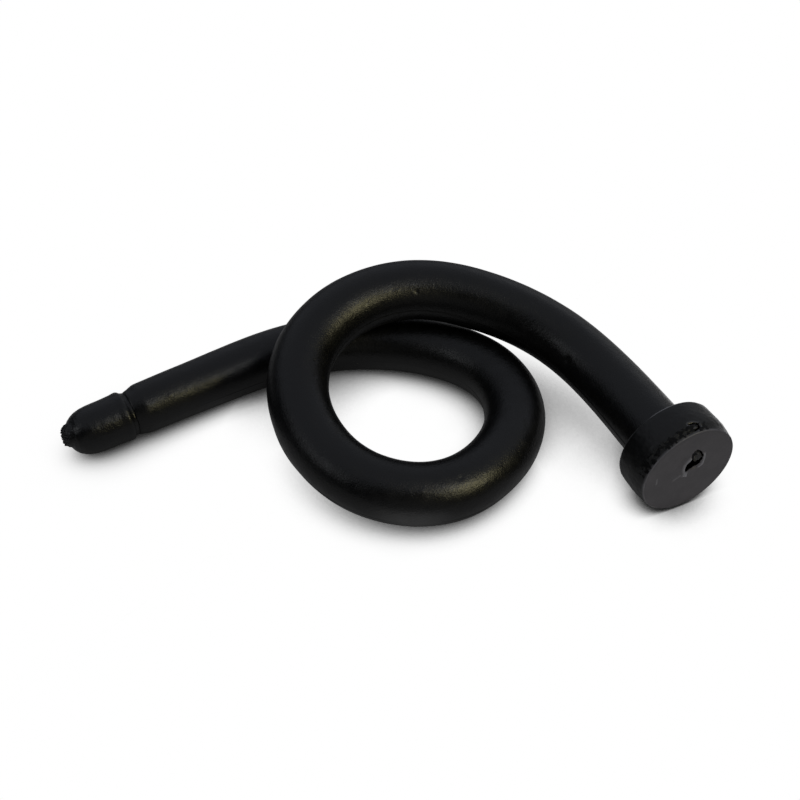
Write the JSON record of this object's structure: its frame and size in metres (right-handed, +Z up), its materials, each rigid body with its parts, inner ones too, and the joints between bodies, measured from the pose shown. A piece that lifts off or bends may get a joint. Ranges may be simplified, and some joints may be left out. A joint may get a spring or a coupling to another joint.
{
  "type": "racket vibration dampener",
  "caption": "Long soft vibration dampener for racket strings: a gel-filled tube that weaves through the strings, with a stop button on one end and a grooved pull bulb on the other.",
  "frame": {"origin": "centre of the bounding box's footprint, on the surface that the object lies on", "axes": "+X towards the button's end, along the longest side; +Z up, across the loop; +Y away from the side that the button's face looks at"},
  "size_m": [0.0775, 0.0351, 0.015],
  "materials": {
    "tube_rubber": "satin black elastomer",
    "button_rubber": "satin black wall and matte brownish-black face",
    "bulb_rubber": "satin black elastomer",
    "seal_rubber": "torn dark grey elastomer",
    "damping_gel": "soft translucent gel, hidden inside the tube"
  },
  "bodies": {
    "upper_turn": {"tube_upper_turn": "tube_rubber", "gel_upper_turn": "damping_gel"},
    "arm": {"head_button": "button_rubber", "fill_seal": "seal_rubber", "tube_arm": "tube_rubber", "gel_arm": "damping_gel"},
    "lower_turn": {"tube_lower_turn": "tube_rubber", "gel_lower_turn": "damping_gel"},
    "tail": {"tube_tail": "tube_rubber", "gel_tail": "damping_gel", "tail_plug": "bulb_rubber"}
  },
  "joints": [
    {"name": "arm_bend", "type": "hinge", "parent": "upper_turn", "child": "arm", "pos_m": [0.01386, 0.01221, 0.00969], "axis": [0, 0, 1], "range_deg": [-8, 35], "stiffness_Nm_per_rad": 0.007},
    {"name": "loop_bend", "type": "hinge", "parent": "upper_turn", "child": "lower_turn", "pos_m": [0.00269, -0.01404, 0.00421], "axis": [0, 0, 1], "range_deg": [-2, 6], "stiffness_Nm_per_rad": 0.007},
    {"name": "tail_bend", "type": "hinge", "parent": "lower_turn", "child": "tail", "pos_m": [-0.00357, 0.01252, 0.00362], "axis": [0, 0, 1], "range_deg": [-35, 6], "stiffness_Nm_per_rad": 0.007}
  ]
}
